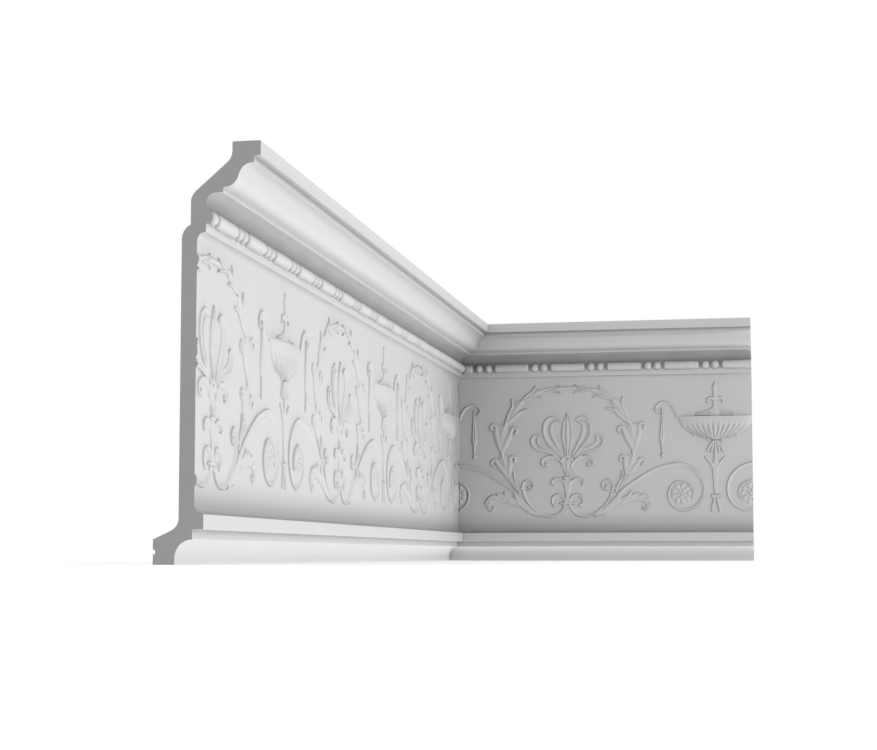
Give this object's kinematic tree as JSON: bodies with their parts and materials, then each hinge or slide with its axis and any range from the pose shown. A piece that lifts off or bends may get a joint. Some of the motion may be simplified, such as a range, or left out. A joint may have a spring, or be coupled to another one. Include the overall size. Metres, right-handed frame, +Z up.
{
  "type": "cornice moulding",
  "caption": "Inside corner of white frieze cornice moulding: mitred lengths with a bead-and-reel row and a carved palmette, scroll and urn frieze, fixed where walls meet a ceiling.",
  "frame": {"origin": "middle of the corner's box in plan, at the level of the underside", "axes": "+X along the short length towards its square end, +Y along the long length towards the corner, +Z up"},
  "size_m": [0.378, 1, 0.28],
  "materials": {
    "primed_polyurethane": "matt white primer on moulded rigid polyurethane foam, grey foam bare on the sawn ends"
  },
  "bodies": {
    "root": {"long_length": "primed_polyurethane", "short_length": "primed_polyurethane"}
  },
  "joints": []
}
